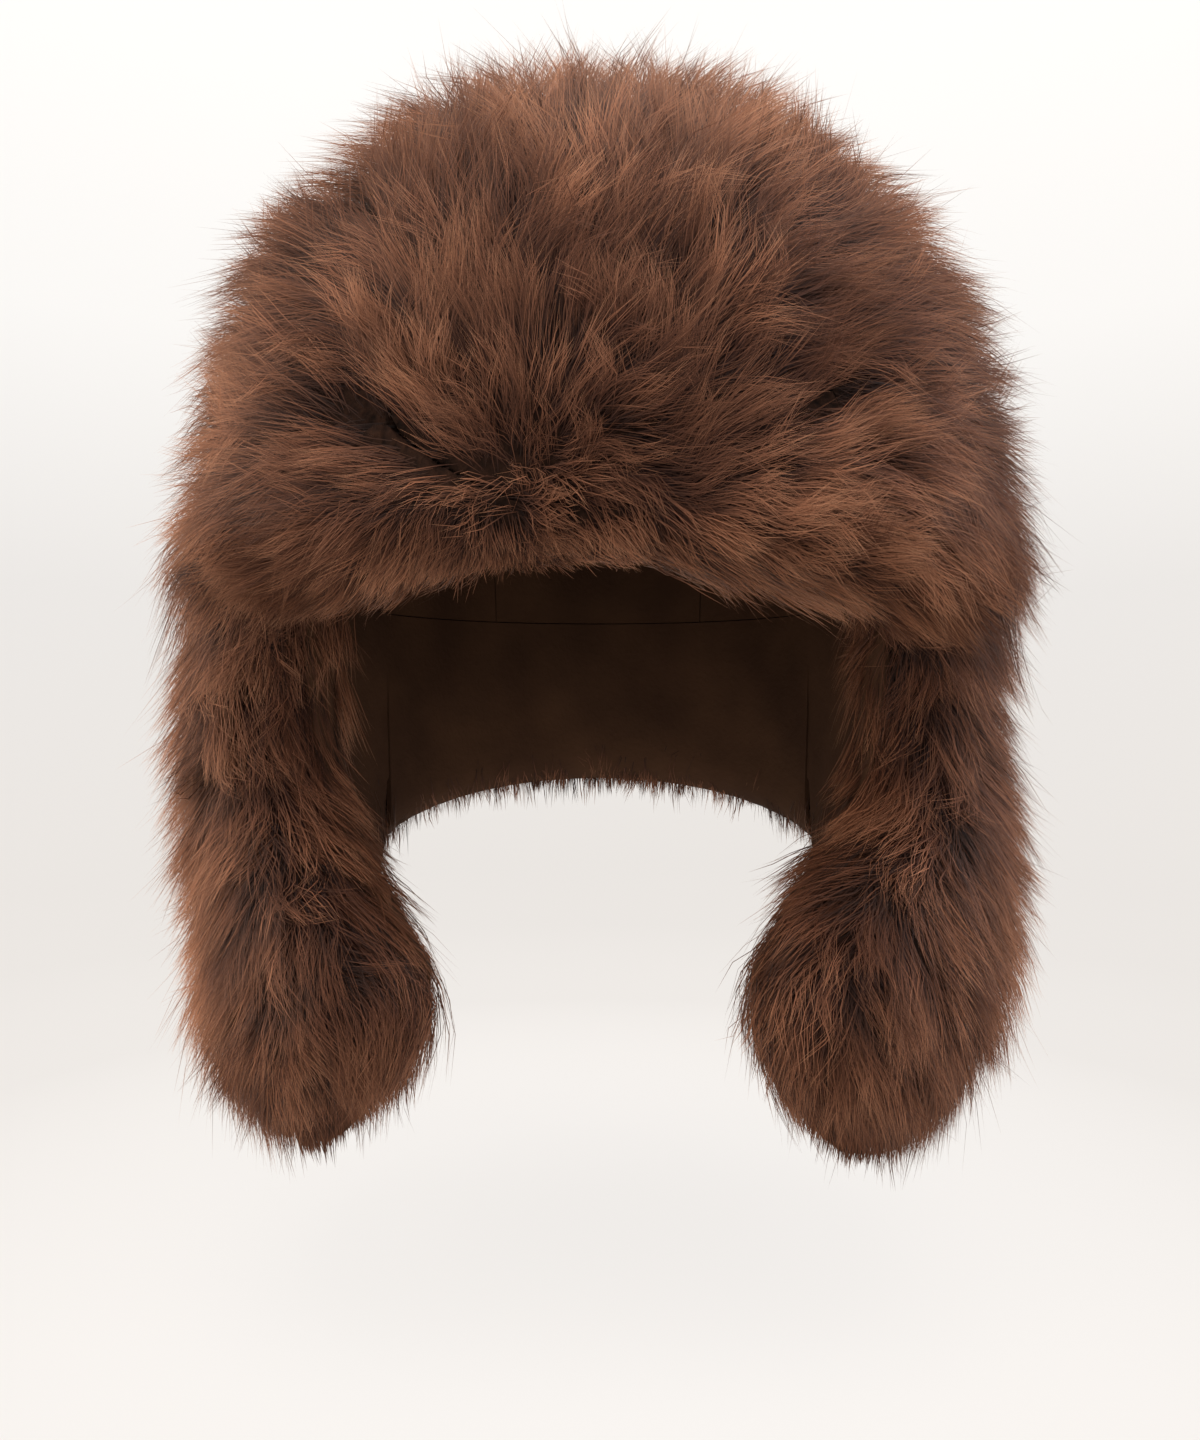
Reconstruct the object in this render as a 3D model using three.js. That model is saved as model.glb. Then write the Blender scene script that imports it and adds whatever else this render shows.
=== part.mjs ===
// An aviator hat in long brown fur: a crown of three panels, a forehead band, two ear flaps and a neck flap.
// Each piece is fur cloth, drawn as one hollow wall from its plain inner face out to the outer form of its pile.
// Millimetres, +Z up, the face opening towards -Y. The origin is the middle of the head opening, at rim level.

import * as THREE from 'three';

// Driving sizes. Half sizes are measured from the origin, at rim level.
const GAP = 0.5;
const HEAD = { halfWidth: 88, front: 98, back: 98, top: 124, roundness: 2.3 };
const FORM = { halfWidth: 133, front: 133, back: 138, top: 160, roundness: 2.38 };
// The fur form spreads a little where the crown's pile hangs over the flaps.
const RIM_FLARE = { share: 0.05, height: 30 };

// Crown seams, in degrees: how far the middle panel reaches to each side, and how high its front end starts.
const SEAM = {
  side: 26, frontMiddle: 5.5, frontLeft: 19.6, frontRight: 25.5, frontCurve: 2.2, backTurn: 150,
};
// The forehead band reaches this far round from the front, in degrees. Its ends hang below the rim, in mm.
const BAND = { reach: 48, dropLeft: 3, dropRight: 10, edgeRound: 26 };
// Along a seam the pile parts, so the form dips by this share of the wall over this many millimetres.
const PARTING = { share: 0.2, width: 17 };

// Ear flaps, a row for each level. outer: half width of the form. inner: half width of the plain inner face.
// front and back: where the flap starts and ends, in degrees round from the front.
// full: the share of the wall's thickness that is kept.
const FLAP_COLUMNS = ['z', 'outerLeft', 'outerRight', 'inner', 'frontLeft', 'frontRight', 'back', 'full'];
const FLAP_ROWS = [
  [-GAP / 2, 136, 132, 88, 53, 53, 117.8, 1],
  [-14, 138, 133, 88.5, 51.5, 52, 117.8, 1],
  [-38, 138, 132, 89, 49.5, 50, 117.8, 1],
  [-62, 137.5, 136, 88, 45, 45, 117.8, 1],
  [-84, 136, 139, 84, 34, 30, 116, 1],
  [-104, 134, 139.5, 77, 24, 21.5, 111, 1],
  [-122, 134, 137, 73, 25, 22, 105, 0.98],
  [-138, 133, 132.5, 70, 32, 27, 99.5, 0.92],
  [-151, 129, 127.5, 70, 43, 35, 94, 0.8],
  [-161, 122, 121, 71, 51, 43, 88, 0.62],
  [-168, 115, 113, 75, 60, 53, 82, 0.4],
  [-171.5, 109, 106, 82, 66, 62, 76, 0.2],
];
const FLAP = {
  halfDepthOut: 134, halfDepthIn: 96, frontRound: 24, backRound: 20, freeBelow: -80, aroundHalf: 15,
};

// Neck flap: its depth at the middle of the back and at its ends, and the rounding of its free lower edge.
const NECK = {
  from: 118.02, middleDepth: 66, endDepth: 88, inset: 4, lean: 0.94, tuck: 0.3,
  edgeRound: 26, columns: 18, rows: 9,
};

const radians = THREE.MathUtils.degToRad;
const mix = THREE.MathUtils.lerp;

// Direction from the origin by its lateral angle and its angle up over the crown from the front, in degrees.
function overCrown(side, up) {
  const a = radians(side);
  const b = radians(up);
  return new THREE.Vector3(Math.sin(a), -Math.cos(a) * Math.cos(b), Math.cos(a) * Math.sin(b));
}

// Direction from the origin by its angle round from the front and its height above the rim, in degrees.
function roundRim(around, up = 0) {
  const a = radians(around);
  const e = radians(up);
  return new THREE.Vector3(Math.cos(e) * Math.sin(a), -Math.cos(e) * Math.cos(a), Math.sin(e));
}

// Where a direction from the origin meets a rounded dome.
function onDome(dome, direction) {
  const depth = direction.y < 0 ? dome.front : dome.back;
  const flat = 2.1;
  const n = dome.roundness;
  const sideways = (Math.abs(direction.x) / dome.halfWidth) ** flat;
  const forwards = (Math.abs(direction.y) / depth) ** flat;
  const plan = (sideways + forwards) ** (n / flat);
  const reach = (plan + (Math.abs(direction.z) / dome.top) ** n) ** (-1 / n);
  return direction.clone().multiplyScalar(reach);
}

function innerFace(direction) {
  return onDome(HEAD, direction);
}

function furForm(direction) {
  const p = onDome(FORM, direction);
  const flare = 1 + RIM_FLARE.share * Math.exp(-((p.z / RIM_FLARE.height) ** 2));
  return new THREE.Vector3(p.x * flare, p.y * (1 + (flare - 1) * 0.4), p.z);
}

// How full the wall is at a distance from a free edge, rounding like a quarter circle.
function rounded(distance, radius) {
  const t = Math.min(1, Math.max(0, distance / radius));
  return Math.sqrt(1 - (1 - t) ** 2);
}

// A closed mesh of rings of points. Each ring runs along its inside and back along its outside, so the first
// and last are closed by a strip of quads from one side to the other.
function loft(rings) {
  const size = rings[0].length;
  const places = rings.flat().flatMap((p) => [p.x, p.y, p.z]);
  const faces = [];
  const quad = (a, b, c, d) => faces.push(a, b, c, a, c, d);
  for (let i = 0; i < rings.length - 1; i++) {
    for (let j = 0; j < size; j++) {
      const a = i * size + j;
      const b = i * size + ((j + 1) % size);
      quad(a, b, b + size, a + size);
    }
  }
  const last = (rings.length - 1) * size;
  for (let j = 0; j < size / 2 - 1; j++) {
    quad(j, size - 1 - j, size - 2 - j, j + 1);
    quad(last + j, last + j + 1, last + size - 2 - j, last + size - 1 - j);
  }
  const geometry = new THREE.BufferGeometry();
  geometry.setAttribute('position', new THREE.Float32BufferAttribute(places, 3));
  geometry.setIndex(outward(places, faces));
  return geometry;
}

// Turns every face over if the solid would be inside out.
function outward(places, faces) {
  let volume = 0;
  const at = (i) => new THREE.Vector3(places[3 * i], places[3 * i + 1], places[3 * i + 2]);
  for (let i = 0; i < faces.length; i += 3) {
    volume += at(faces[i]).dot(at(faces[i + 1]).cross(at(faces[i + 2])));
  }
  if (volume > 0) return faces;
  const turned = [];
  for (let i = 0; i < faces.length; i += 3) turned.push(faces[i], faces[i + 2], faces[i + 1]);
  return turned;
}

// A wall over a four-sided patch of directions. It runs from the plain inner face to the fur form, with dips
// where the pile parts at its seams, and a rounded lower edge where that edge is free.
function patchWall({ bottom, top, left, right, across, rows, freeBottom = 0, seams }) {
  const inside = [];
  const outside = [];
  for (let i = 0; i <= rows; i++) {
    const v = freeBottom ? (i / rows) ** 1.5 : i / rows;
    const insideRow = [];
    const outsideRow = [];
    for (let j = 0; j <= across; j++) {
      const u = j / across;
      const direction = new THREE.Vector3()
        .addScaledVector(bottom(u), 1 - v).addScaledVector(top(u), v)
        .addScaledVector(left(v), 1 - u).addScaledVector(right(v), u)
        .addScaledVector(bottom(0), -(1 - u) * (1 - v)).addScaledVector(bottom(1), -u * (1 - v))
        .addScaledVector(top(0), -(1 - u) * v).addScaledVector(top(1), -u * v)
        .normalize();
      const inner = innerFace(direction);
      const form = furForm(direction);
      const size = form.length();
      const toTop = size * direction.angleTo(top(u));
      const toLeft = size * direction.angleTo(left(v));
      const toRight = size * direction.angleTo(right(v));
      const toBottom = size * direction.angleTo(bottom(u));
      let dip = 0;
      if (seams.top) dip += Math.exp(-((toTop / PARTING.width) ** 2)) * seams.top;
      if (seams.left) dip += Math.exp(-((toLeft / PARTING.width) ** 2)) * seams.left;
      if (seams.right) dip += Math.exp(-((toRight / PARTING.width) ** 2)) * seams.right;
      if (seams.bottom) dip += Math.exp(-((toBottom / PARTING.width) ** 2)) * seams.bottom;
      const full = freeBottom ? rounded(toBottom + 0.6, freeBottom) : 1;
      const closing = 0.32;
      const outerShare = mix(closing, 1, full) * (1 - PARTING.share * Math.min(1.25, dip));
      const innerShare = closing * (1 - rounded(toBottom + 0.6, freeBottom * 0.5 || 1e-6));
      insideRow.push(inner.clone().lerp(form, freeBottom ? innerShare : 0));
      outsideRow.push(inner.clone().lerp(form, outerShare));
    }
    inside.push(insideRow);
    outside.push(outsideRow);
  }
  return loft(inside.map((row, i) => [...row, ...[...outside[i]].reverse()]));
}

// Half the gap of a seam as an angle seen from the origin, in degrees.
const HALF_GAP_ANGLE = THREE.MathUtils.radToDeg(GAP / 2 / FORM.halfWidth) * 1.15;

// The front end of the middle panel: s runs from -1 at its left corner to 1 at its right corner.
function frontSeam(s, lift) {
  const corner = s < 0 ? SEAM.frontLeft : SEAM.frontRight;
  const up = mix(SEAM.frontMiddle, corner, Math.abs(s) ** SEAM.frontCurve);
  return overCrown(SEAM.side * s, up + lift);
}

function arc(from, to, t) {
  const angle = from.angleTo(to);
  const a = Math.sin((1 - t) * angle) / Math.sin(angle);
  const b = Math.sin(t * angle) / Math.sin(angle);
  return from.clone().multiplyScalar(a).addScaledVector(to, b);
}

// Lowest direction of the crown's walls, held just above the rim plane so that the flaps meet it flat.
const RIM_UP = THREE.MathUtils.radToDeg(GAP / 2 / FORM.halfWidth);

function crownCentre() {
  const s = SEAM.side - HALF_GAP_ANGLE;
  const lift = 2 * HALF_GAP_ANGLE;
  const start = (side) => (side < 0 ? SEAM.frontLeft : SEAM.frontRight) + lift;
  const seam = (side) => (v) => overCrown(side * s, mix(start(side), 180 - RIM_UP, v));
  return patchWall({
    bottom: (u) => {
      const p = frontSeam(2 * u - 1, lift);
      return new THREE.Vector3(p.x * (s / SEAM.side), p.y, p.z).normalize();
    },
    top: (u) => overCrown(mix(-s, s, u), 180 - RIM_UP),
    left: seam(-1),
    right: seam(1),
    across: 22,
    rows: 30,
    seams: { bottom: 1, left: 0.35, right: 0.35 },
  });
}

function bandEnd(side, v) {
  const reach = BAND.reach - HALF_GAP_ANGLE;
  const drop = side < 0 ? BAND.dropLeft : BAND.dropRight;
  const down = THREE.MathUtils.radToDeg(Math.atan(drop / FORM.front));
  const foot = roundRim(side * reach, -down);
  return arc(foot, frontSeam(side, -HALF_GAP_ANGLE), v);
}

function foreheadBand() {
  const reach = BAND.reach - HALF_GAP_ANGLE;
  return patchWall({
    bottom: (u) => {
      const s = 2 * u - 1;
      const drop = (s < 0 ? BAND.dropLeft : BAND.dropRight) * Math.abs(s) ** 3;
      return roundRim(reach * s, -THREE.MathUtils.radToDeg(Math.atan(drop / FORM.front)));
    },
    top: (u) => frontSeam(2 * u - 1, -HALF_GAP_ANGLE),
    left: (v) => bandEnd(-1, v),
    right: (v) => bandEnd(1, v),
    across: 22,
    rows: 10,
    freeBottom: BAND.edgeRound,
    seams: { top: 1, left: 0.3, right: 0.3 },
  });
}

function crownSide(side) {
  const s = side * (SEAM.side + HALF_GAP_ANGLE);
  const start = side < 0 ? SEAM.frontLeft : SEAM.frontRight;
  const end = 180 - SEAM.side - HALF_GAP_ANGLE;
  const corner = overCrown(s, start);
  const foot = roundRim(side * (BAND.reach + HALF_GAP_ANGLE), RIM_UP);
  return patchWall({
    bottom: (u) => roundRim(side * mix(BAND.reach + HALF_GAP_ANGLE, end, u), RIM_UP),
    top: (u) => overCrown(s, mix(start, SEAM.backTurn, u)),
    left: (v) => arc(foot, corner, v),
    right: (v) => overCrown(s, mix(180 - RIM_UP, SEAM.backTurn, v)),
    across: 26,
    rows: 12,
    seams: { top: 0.35, left: 0.3 },
  });
}

// A flap row as an object keyed by its column names.
function named(row) {
  return Object.fromEntries(FLAP_COLUMNS.map((name, i) => [name, row[i]]));
}

// Where a ray at an angle round from the front meets an ellipse about the origin, in plan.
function onEllipse(halfWide, halfDeep, around, z) {
  const wide = Math.sin(around);
  const deep = -Math.cos(around);
  const reach = ((wide / halfWide) ** 2 + (deep / halfDeep) ** 2) ** -0.5;
  return new THREE.Vector3(reach * wide, reach * deep, z);
}

// One level of an ear flap: a curved bean in plan, blunt at its seam with the neck flap and round where free.
function flapRing(row, side) {
  const outer = side < 0 ? row.outerLeft : row.outerRight;
  const front = side < 0 ? row.frontLeft : row.frontRight;
  const middleWide = (outer + row.inner) / 2;
  const backRound = row.z > FLAP.freeBelow ? 0 : FLAP.backRound * Math.min(1, (FLAP.freeBelow - row.z) / 20);
  const outside = [];
  const inside = [];
  for (let i = 0; i <= FLAP.aroundHalf; i++) {
    const t = (1 - Math.cos((Math.PI * i) / FLAP.aroundHalf)) / 2;
    const around = radians(mix(row.back, front, t));
    const length = radians(row.back - front) * middleWide;
    const nose = rounded((1 - t) * length + 0.4, FLAP.frontRound);
    const heel = backRound > 0.5 ? rounded(t * length + 0.4, backRound) : 1;
    const full = Math.min(nose, heel) * row.full;
    const out = onEllipse(outer, FLAP.halfDepthOut, around, row.z);
    const inn = onEllipse(row.inner, FLAP.halfDepthIn, around, row.z);
    const middle = out.clone().lerp(inn, 0.5);
    outside.push(middle.clone().lerp(out, full));
    inside.push(middle.clone().lerp(inn, full));
  }
  for (const p of [...outside, ...inside]) p.x *= side;
  return [...outside, ...inside.reverse()];
}

function earFlap(side) {
  return loft(FLAP_ROWS.map((row) => flapRing(named(row), side)));
}

// One upright slice of the neck flap, flat on top and round at its free lower edge.
function neckSlice(around) {
  const fromEnd = Math.abs(180 - around) / (180 - NECK.from);
  const depth = mix(NECK.middleDepth, NECK.endDepth, fromEnd ** 2);
  const direction = roundRim(around);
  const form = furForm(direction).length() - NECK.inset;
  const inner = innerFace(direction).length();
  const outside = [];
  const inside = [];
  for (let i = 0; i <= NECK.rows; i++) {
    const t = 1 - (1 - i / NECK.rows) ** 1.6;
    const down = depth * t;
    const full = rounded(depth - down + 0.5, NECK.edgeRound);
    const tip = rounded(depth - down + 0.5, NECK.edgeRound * 0.5);
    const out = mix(inner, form * mix(1, NECK.lean, t), mix(NECK.tuck, 1, full));
    const inn = mix(inner, form, NECK.tuck * (1 - tip)) * mix(1, 0.97, t);
    outside.push(direction.clone().multiplyScalar(out).setZ(-GAP / 2 - down));
    inside.push(direction.clone().multiplyScalar(inn).setZ(-GAP / 2 - down));
  }
  return [...outside, ...inside.reverse()];
}

function neckFlap() {
  const slices = [];
  for (let i = 0; i <= NECK.columns; i++) {
    slices.push(neckSlice(mix(NECK.from, 360 - NECK.from, i / NECK.columns) + 1e-4));
  }
  return loft(slices);
}

const brownFur = new THREE.MeshStandardMaterial({
  color: '#6b4535', roughness: 0.95, metalness: 0, side: THREE.DoubleSide,
});

const hat = new THREE.Group();
const pieces = {
  crown_centre: crownCentre(),
  crown_side_left: crownSide(-1),
  crown_side_right: crownSide(1),
  forehead_band: foreheadBand(),
  ear_flap_left: earFlap(-1),
  ear_flap_right: earFlap(1),
  neck_flap: neckFlap(),
};
for (const [name, geometry] of Object.entries(pieces)) {
  geometry.computeVertexNormals();
  const mesh = new THREE.Mesh(geometry, brownFur.clone());
  mesh.name = name;
  hat.add(mesh);
}

export default hat;
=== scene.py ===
# An aviator hat in long brown fur. The frame gives each panel as a solid of its outer form. Here each panel
# becomes its backing cloth, an undercoat that is near black with painted shade, and the long guard hairs that
# are combed over it.

import math
from types import SimpleNamespace

import bpy
import numpy as np
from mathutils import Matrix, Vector
from mathutils.bvhtree import BVHTree
from mathutils.kdtree import KDTree


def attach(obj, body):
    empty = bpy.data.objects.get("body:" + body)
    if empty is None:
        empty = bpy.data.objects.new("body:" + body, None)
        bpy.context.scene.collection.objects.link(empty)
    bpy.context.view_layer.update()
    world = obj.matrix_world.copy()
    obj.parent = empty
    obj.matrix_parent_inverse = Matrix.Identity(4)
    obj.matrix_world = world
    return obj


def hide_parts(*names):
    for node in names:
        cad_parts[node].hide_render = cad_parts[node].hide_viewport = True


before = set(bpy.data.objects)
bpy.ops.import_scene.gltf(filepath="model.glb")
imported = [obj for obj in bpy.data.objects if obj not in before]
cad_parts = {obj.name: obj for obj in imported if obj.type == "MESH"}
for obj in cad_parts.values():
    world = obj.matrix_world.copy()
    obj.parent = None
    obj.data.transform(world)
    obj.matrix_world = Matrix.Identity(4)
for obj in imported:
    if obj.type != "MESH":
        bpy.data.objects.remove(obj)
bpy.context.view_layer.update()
MM = 0.001
PANELS = ["crown_centre", "crown_side_left", "crown_side_right", "forehead_band",
          "ear_flap_left", "ear_flap_right", "neck_flap"]


# Colours and materials

def hex_colour(code):
    """An sRGB hex colour as linear red, green, blue and alpha."""
    parts = [int(code[i:i + 2], 16) / 255 for i in (1, 3, 5)]
    return [c / 12.92 if c <= 0.04045 else ((c + 0.055) / 1.055) ** 2.4 for c in parts] + [1.0]


def add_node(tree, kind, settings=None, links=None, stops=()):
    """A node with its properties or socket values from settings, and its inputs linked by name or number.
    A colour ramp also takes its stops, each a position and a hex colour."""
    node = tree.nodes.new(kind)
    for name, value in (settings or {}).items():
        if isinstance(name, str) and hasattr(node, name):
            setattr(node, name, value)
        else:
            node.inputs[name].default_value = value
    for name, source in (links or {}).items():
        tree.links.new(source, node.inputs[name])
    for i, (position, code) in enumerate(stops):
        elements = node.color_ramp.elements
        element = elements[i] if i < len(elements) else elements.new(position)
        element.position = position
        element.color = hex_colour(code)
    return node


def new_material(name):
    """A named material and its tree, emptied."""
    material = bpy.data.materials.new(name)
    material.use_nodes = True
    material.node_tree.nodes.clear()
    return material, material.node_tree


def add_surface(tree, settings, links):
    """The shader that a material ends with, and its output."""
    shader = add_node(tree, "ShaderNodeBsdfPrincipled", settings, links)
    add_node(tree, "ShaderNodeOutputMaterial", links={"Surface": shader.outputs["BSDF"]})


# The darkest and the lightest guard hair, from root to tip. The dark at the root is painted shade deep in the
# pile, and the lighter tip is partly the hair's own colour and partly painted light.
DARKEST_HAIR = [(0.0, "#100704"), (0.35, "#22110a"), (0.75, "#452617"), (1.0, "#663f2b")]
LIGHTEST_HAIR = [(0.0, "#20100a"), (0.35, "#4a2a1b"), (0.75, "#8c5b41"), (1.0, "#b88666")]


def guard_hair():
    """Modacrylic guard hair, drawn into long fine fibres: softly glossy, dark at the root with painted shade,
    and light at the tip, partly with painted light.
    On a hair's map, across is how light the hair is, and up runs from root to tip."""
    material, tree = new_material("modacrylic_guard_hair")
    place = add_node(tree, "ShaderNodeUVMap", {"uv_map": "OFBake"})
    parts = add_node(tree, "ShaderNodeSeparateXYZ", links={"Vector": place.outputs["UV"]})
    along = {"Fac": parts.outputs["Y"]}
    dark = add_node(tree, "ShaderNodeValToRGB", links=along, stops=DARKEST_HAIR)
    light = add_node(tree, "ShaderNodeValToRGB", links=along, stops=LIGHTEST_HAIR)
    colour = add_node(tree, "ShaderNodeMix", {"data_type": "RGBA"},
                      {0: parts.outputs["X"], 6: dark.outputs["Color"], 7: light.outputs["Color"]})
    add_surface(tree, {"Roughness": 0.55, "IOR": 1.5, "Specular IOR Level": 0.12, "Sheen Weight": 0.2,
                       "Sheen Roughness": 0.4, "Sheen Tint": hex_colour("#c89474")},
                {"Base Color": colour.outputs[2]})
    return material


# The felted grain and the knit's loops are drawn coarser than real ones, as coarse as they need to show.
FELT_GRAIN = 2.5 * MM
KNIT_LOOP = 2 * MM
BRUSHED_PATCH = 100 / 3 * MM


def undercoat():
    """Short dense modacrylic undercoat, crimped and felted, with a fine matt grain. Its near-black colour is
    painted shade, the dark deep in the pile.
    """
    material, tree = new_material("modacrylic_undercoat")
    place = {"Vector": add_node(tree, "ShaderNodeTexCoord").outputs["Object"]}
    grain = add_node(tree, "ShaderNodeTexNoise", {"Scale": 1 / FELT_GRAIN, "Detail": 3.0}, place)
    colour = add_node(tree, "ShaderNodeValToRGB", links={"Fac": grain.outputs["Fac"]},
                      stops=[(0.3, "#150d09"), (0.7, "#2b1b13")])
    bump = add_node(tree, "ShaderNodeBump", {"Strength": 0.6, "Distance": 2 * MM},
                    {"Height": grain.outputs["Fac"]})
    add_surface(tree, {"Roughness": 0.95, "Specular IOR Level": 0.05},
                {"Base Color": colour.outputs["Color"], "Normal": bump.outputs["Normal"]})
    return material


def knit_backing():
    """Polyester backing of the fur cloth, knitted and brushed: matt brown, with an uneven grain of loops."""
    material, tree = new_material("knitted_polyester_backing")
    place = {"Vector": add_node(tree, "ShaderNodeTexCoord").outputs["Object"]}
    loops = add_node(tree, "ShaderNodeTexNoise", {"Scale": 1 / KNIT_LOOP, "Detail": 2.0}, place)
    patches = add_node(tree, "ShaderNodeTexNoise", {"Scale": 1 / BRUSHED_PATCH, "Detail": 3.0}, place)
    colour = add_node(tree, "ShaderNodeValToRGB", links={"Fac": patches.outputs["Fac"]},
                      stops=[(0.3, "#38251a"), (0.7, "#483122")])
    bump = add_node(tree, "ShaderNodeBump", {"Strength": 0.5, "Distance": 0.6 * MM},
                    {"Height": loops.outputs["Fac"]})
    add_surface(tree, {"Roughness": 0.9, "Specular IOR Level": 0.05},
                {"Base Color": colour.outputs["Color"], "Normal": bump.outputs["Normal"]})
    return material


# Small helpers on arrays and meshes

# Divisors stay above these, so that nothing is divided by zero.
LEAST_LENGTH = 1e-12
LEAST_SQUARE = 1e-18


def unit(v):
    """Each direction in v at length 1."""
    return v / np.maximum(np.linalg.norm(v, axis=-1, keepdims=True), LEAST_LENGTH)


def fade(values, start, width):
    """0 up to start, then a straight rise to 1 over the width."""
    return np.clip((values - start) / width, 0, 1)


def dot(a, b):
    """The dot product of each direction in a with its partner in b."""
    return (a * b).sum(1)


def turned(v, axis, angle):
    """v turned about unit axes by angles in radians."""
    c, s = np.cos(angle)[:, None], np.sin(angle)[:, None]
    return v * c + np.cross(axis, v) * s + axis * (axis * v).sum(1, keepdims=True) * (1 - c)


def vertices_of(mesh, what="co"):
    """A mesh's vertex places, or its vertex normals."""
    values = np.empty(len(mesh.vertices) * 3)
    mesh.vertices.foreach_get(what, values)
    return values.reshape(-1, 3)


def triangles_of(mesh):
    """A mesh's triangles, each a row of three vertex numbers."""
    mesh.calc_loop_triangles()
    index = np.empty(len(mesh.loop_triangles) * 3, int)
    mesh.loop_triangles.foreach_get("vertices", index)
    return index.reshape(-1, 3)


def deselect_all():
    for piece in bpy.context.selected_objects:
        piece.select_set(False)


def copy_of(panel, name):
    """A copy of a panel's solid, with its loose triangles joined."""
    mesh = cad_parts[panel].data.copy()
    mesh.name = name
    mesh.materials.clear()
    piece = bpy.data.objects.new(name, mesh)
    bpy.context.scene.collection.objects.link(piece)
    deselect_all()
    piece.select_set(True)
    bpy.context.view_layer.objects.active = piece
    bpy.ops.object.mode_set(mode="EDIT")
    bpy.ops.mesh.select_all(action="SELECT")
    bpy.ops.mesh.remove_doubles(threshold=0.01 * MM)
    bpy.ops.mesh.customdata_custom_splitnormals_clear()
    bpy.ops.object.mode_set(mode="OBJECT")
    return piece


def apply_modifier(piece, kind, **settings):
    modifier = piece.modifiers.new(kind.title(), kind)
    for key, value in settings.items():
        setattr(modifier, key, value)
    bpy.context.view_layer.objects.active = piece
    bpy.ops.object.modifier_apply(modifier=modifier.name)


def smooth_faces(mesh):
    for polygon in mesh.polygons:
        polygon.use_smooth = True
    mesh.update()


# The panels' solids, and the skin that the fur follows

# The crown's panels end in seams. The others have a free edge, and the fur turns round it for this far.
EDGE_TURN = 17 * MM
# A triangle that is this near to a neighbour, and faces sideways, lies in a seam.
SEAM_ROOM = 1.5 * MM
# How squarely a triangle faces outwards, from -1 to 1: the least that carries fur by itself, and the most
# either way of one that counts as sideways, in a seam and at a free edge.
FURRED_FACING = -0.45
SEAM_FACING = 0.4
EDGE_FACING = 0.5


def has_free_edge(panel):
    return not panel.startswith("crown")


def outwards(places):
    """Unit directions out of the hat at places: level below the rim, and fanning out above it."""
    v = places.copy()
    v[:, 2] = np.maximum(v[:, 2], 0)
    return unit(v)


def solid_of(panel):
    """A panel's corner places, normals and areas, a row for each triangle."""
    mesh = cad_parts[panel].data
    corners = vertices_of(mesh)[triangles_of(mesh)]
    cross = np.cross(corners[:, 1] - corners[:, 0], corners[:, 2] - corners[:, 0])
    return corners, unit(cross), np.linalg.norm(cross, axis=1) / 2


SOLIDS = {panel: solid_of(panel) for panel in PANELS}


def furred_triangles(panel):
    """Which triangles of a panel carry fur: those that face outwards, and those inside a free edge that the
    fur turns round, but not those that lie in a seam."""
    corners, normals, _ = SOLIDS[panel]
    middle = corners.mean(1)
    places = np.concatenate([SOLIDS[other][0] for other in PANELS if other != panel]).reshape(-1, 3)
    neighbours = BVHTree.FromPolygons(places.tolist(), np.arange(len(places)).reshape(-1, 3).tolist())
    near = np.array([neighbours.find_nearest(Vector(p))[3] for p in middle])
    facing = dot(normals, outwards(middle))
    in_seam = (near < SEAM_ROOM) & (np.abs(facing) < SEAM_FACING)
    furred = facing > FURRED_FACING
    if has_free_edge(panel):
        edge = middle[(np.abs(facing) < EDGE_FACING) & ~in_seam]
        furred |= np.array([np.linalg.norm(edge - p, axis=1).min() for p in middle]) < EDGE_TURN
    return furred & ~in_seam


FURRED = {panel: furred_triangles(panel) for panel in PANELS}

VOXEL = 5 * MM
SKIN_SMOOTHING = 14
SKIN_PUSH = 1.5


def soft_skin():
    """A smooth skin over all the panels together, pushed out by SKIN_PUSH mm, which the hairs follow across
    seams and ledges: its places, normals and triangles, and a tree to find the nearest of them."""
    parts = [copy_of(panel, panel + "_skin") for panel in PANELS]
    deselect_all()
    for part in parts:
        part.select_set(True)
    skin = parts[0]
    bpy.context.view_layer.objects.active = skin
    bpy.ops.object.join()
    apply_modifier(skin, "REMESH", mode="VOXEL", voxel_size=VOXEL)
    apply_modifier(skin, "SMOOTH", factor=0.5, iterations=SKIN_SMOOTHING)
    mesh = skin.data
    normals = vertices_of(mesh, "normal")
    places = vertices_of(mesh) + normals * SKIN_PUSH * MM
    index = triangles_of(mesh)
    bpy.data.objects.remove(skin)
    bpy.data.meshes.remove(mesh)
    return places, normals, index, BVHTree.FromPolygons(places.tolist(), index.tolist())


SKIN_PLACES, SKIN_NORMALS, SKIN_TRIANGLES, SKIN = soft_skin()


def on_skin(places):
    """The nearest places on the skin, and its outward directions there, blended across each triangle."""
    found = [SKIN.find_nearest(Vector(p)) for p in places]
    spot = np.array([f[0] for f in found])
    index = SKIN_TRIANGLES[[f[2] for f in found]]
    a, b, c = (SKIN_PLACES[index[:, k]] for k in range(3))
    cross = np.cross(b - a, c - a)
    size = np.maximum(dot(cross, cross), LEAST_SQUARE)
    u = dot(np.cross(c - b, spot - b), cross) / size
    v = dot(np.cross(a - c, spot - c), cross) / size
    share = np.stack([u, v, 1 - u - v], 1)
    return spot, unit((SKIN_NORMALS[index] * share[:, :, None]).sum(1))
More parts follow.
